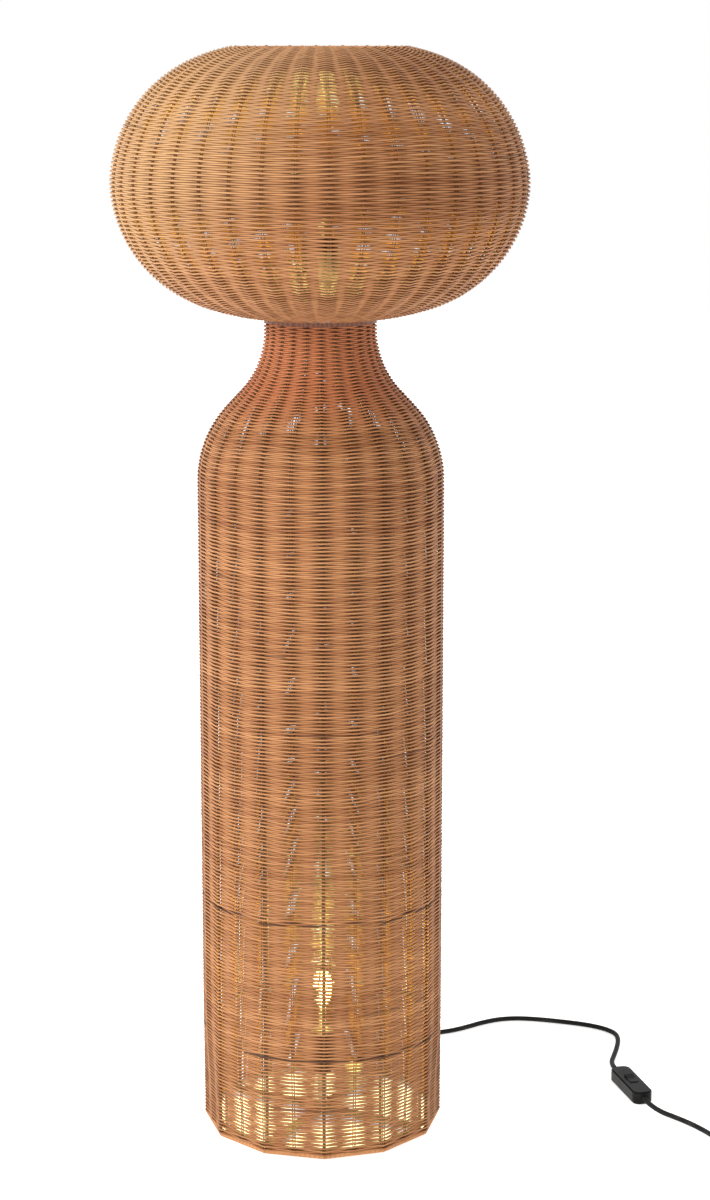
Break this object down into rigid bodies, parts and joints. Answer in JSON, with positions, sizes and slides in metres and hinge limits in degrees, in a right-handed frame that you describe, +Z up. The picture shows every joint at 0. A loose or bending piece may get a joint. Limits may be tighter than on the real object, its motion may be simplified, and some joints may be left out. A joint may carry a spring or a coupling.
{
  "type": "woven lamp with globe shade",
  "caption": "Woven cane floor lamp: lift-off globe shade with an open top, on a bottle-shaped woven stand lit from inside, with a floor lead and an inline rocker switch.",
  "frame": {"origin": "on the floor, on the lamp's own axis, at the bottom centre of the stand's rim", "axes": "+Z up along the lamp's axis, -Y towards the viewer's front, +X to the side where the lead lies"},
  "size_m": [0.7544, 0.5172, 1.2003],
  "materials": {
    "cane": "woven cane, satin",
    "stake_cane": "dark cane, satin",
    "rim_cane": "bound cane, satin",
    "collar_wood": "plain turned wood",
    "frame_steel": "brown powder coat",
    "threaded_steel": "zinc plated",
    "holder_plastic": "black thermoset",
    "holder_ceramic": "glazed white insert",
    "lead_plastic": "black PVC",
    "white_lead": "white PVC",
    "terminal_plastic": "white nylon",
    "tie_plastic": "black nylon",
    "cap_metal": "rolled thread",
    "bulb_glass": "warm frosted glass, lit",
    "bulb_stem": "filament carrier, lit",
    "switch_plastic": "black ABS, fine satin",
    "switch_metal": "zinc plated",
    "contact_brass": "stamped",
    "plug_rubber": "black moulded",
    "pin_metal": "nickel plated"
  },
  "bodies": {
    "stand": {"base_border": "rim_cane", "base_band": "frame_steel", "base_cross": "frame_steel", "frame_uprights": "frame_steel", "hoop_low": "frame_steel", "hoop_middle": "frame_steel", "hoop_high": "frame_steel", "hoop_shoulder": "frame_steel", "body_weave": "cane", "stakes_main": "stake_cane", "stakes_between": "stake_cane", "neck_collar": "collar_wood", "neck_spider": "frame_steel", "lower_pipe": "threaded_steel", "lower_lock_nuts": "threaded_steel", "lower_holder_cup": "holder_plastic", "lower_holder_core": "holder_ceramic", "lower_holder_sleeve": "holder_plastic", "terminal_block": "terminal_plastic", "supply_lead": "lead_plastic", "lower_lead": "white_lead", "riser_cable": "white_lead", "cable_ties": "tie_plastic", "upper_pipe": "threaded_steel", "upper_lock_nuts": "threaded_steel", "upper_holder_cup": "holder_plastic", "upper_holder_core": "holder_ceramic", "upper_holder_sleeve": "holder_plastic", "cord_grommet": "lead_plastic", "cord_to_switch": "lead_plastic", "switch_base": "switch_plastic", "switch_cover": "switch_plastic", "switch_screws": "switch_metal", "switch_contacts": "contact_brass", "cord_to_coil": "lead_plastic", "cord_coil": "lead_plastic", "cord_tie": "tie_plastic", "cord_to_plug": "lead_plastic", "plug_body": "plug_rubber", "plug_pins": "pin_metal"},
    "shade": {"shade_weave": "cane", "shade_stakes": "stake_cane", "shade_base_ring": "frame_steel", "shade_belly_hoop": "frame_steel", "shade_top_border": "rim_cane"},
    "upper_bulb": {"upper_bulb_cap": "cap_metal", "upper_bulb_glass": "bulb_glass", "upper_bulb_stem": "bulb_stem"},
    "lower_bulb": {"lower_bulb_cap": "cap_metal", "lower_bulb_glass": "bulb_glass", "lower_bulb_stem": "bulb_stem"},
    "rocker": {"switch_rocker": "switch_plastic"}
  },
  "joints": [
    {"name": "shade_lift", "type": "slide", "parent": "stand", "child": "shade", "axis": [0, 0, 1], "range_m": [0, 0.2]},
    {"name": "upper_bulb_turn", "type": "hinge", "parent": "stand", "child": "upper_bulb", "pos_m": [0, 0, 1], "axis": [0, 0, 1], "continuous": true},
    {"name": "lower_bulb_turn", "type": "hinge", "parent": "stand", "child": "lower_bulb", "pos_m": [0, 0, 0.1], "axis": [0, 0, 1], "continuous": true},
    {"name": "switch_press", "type": "hinge", "parent": "stand", "child": "rocker", "pos_m": [0.361, 0.063, 0.011], "axis": [-0.9659, -0.2588, 0], "range_deg": [0, 14]}
  ]
}
